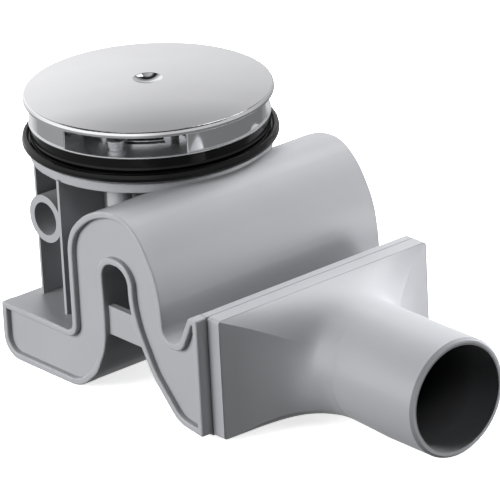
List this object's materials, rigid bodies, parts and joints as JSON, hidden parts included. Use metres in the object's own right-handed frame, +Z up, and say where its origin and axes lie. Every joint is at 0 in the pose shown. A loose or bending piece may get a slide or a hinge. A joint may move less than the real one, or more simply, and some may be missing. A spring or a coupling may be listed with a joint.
{
  "type": "shower trap",
  "caption": "Low shower trap: round drain head with a domed cover over an S-shaped moulded water way with a side lid, and a horizontal round outlet spigot.",
  "frame": {"origin": "on the drain axis, in the plane that the trap stands on", "axes": "+Z up along the drain axis, +X from the drain towards the outlet along the outlet axis, +Y to the closed long side of the body (the side lid is on -Y)"},
  "size_m": [0.2387, 0.1179, 0.1139],
  "materials": {
    "grey_plastic": "satin moulded, light grey",
    "lid_plastic": "satin moulded, light grey",
    "inner_plastic": "satin moulded, off-white",
    "chrome": "polished plated",
    "black_rubber": "glossy moulded elastomer",
    "brass": "turned",
    "steel": "bright stainless"
  },
  "bodies": {
    "root": {"trap_body": "grey_plastic", "side_lid": "lid_plastic", "outlet_adapter": "grey_plastic", "lower_gasket": "black_rubber", "upper_gasket": "black_rubber", "clamp_ring": "chrome", "clamp_screws": "steel", "threaded_inserts": "brass", "dip_tube": "inner_plastic", "dip_tube_seal": "black_rubber", "hair_strainer": "inner_plastic", "cover_disc": "chrome", "cover_carrier": "inner_plastic"}
  },
  "joints": []
}
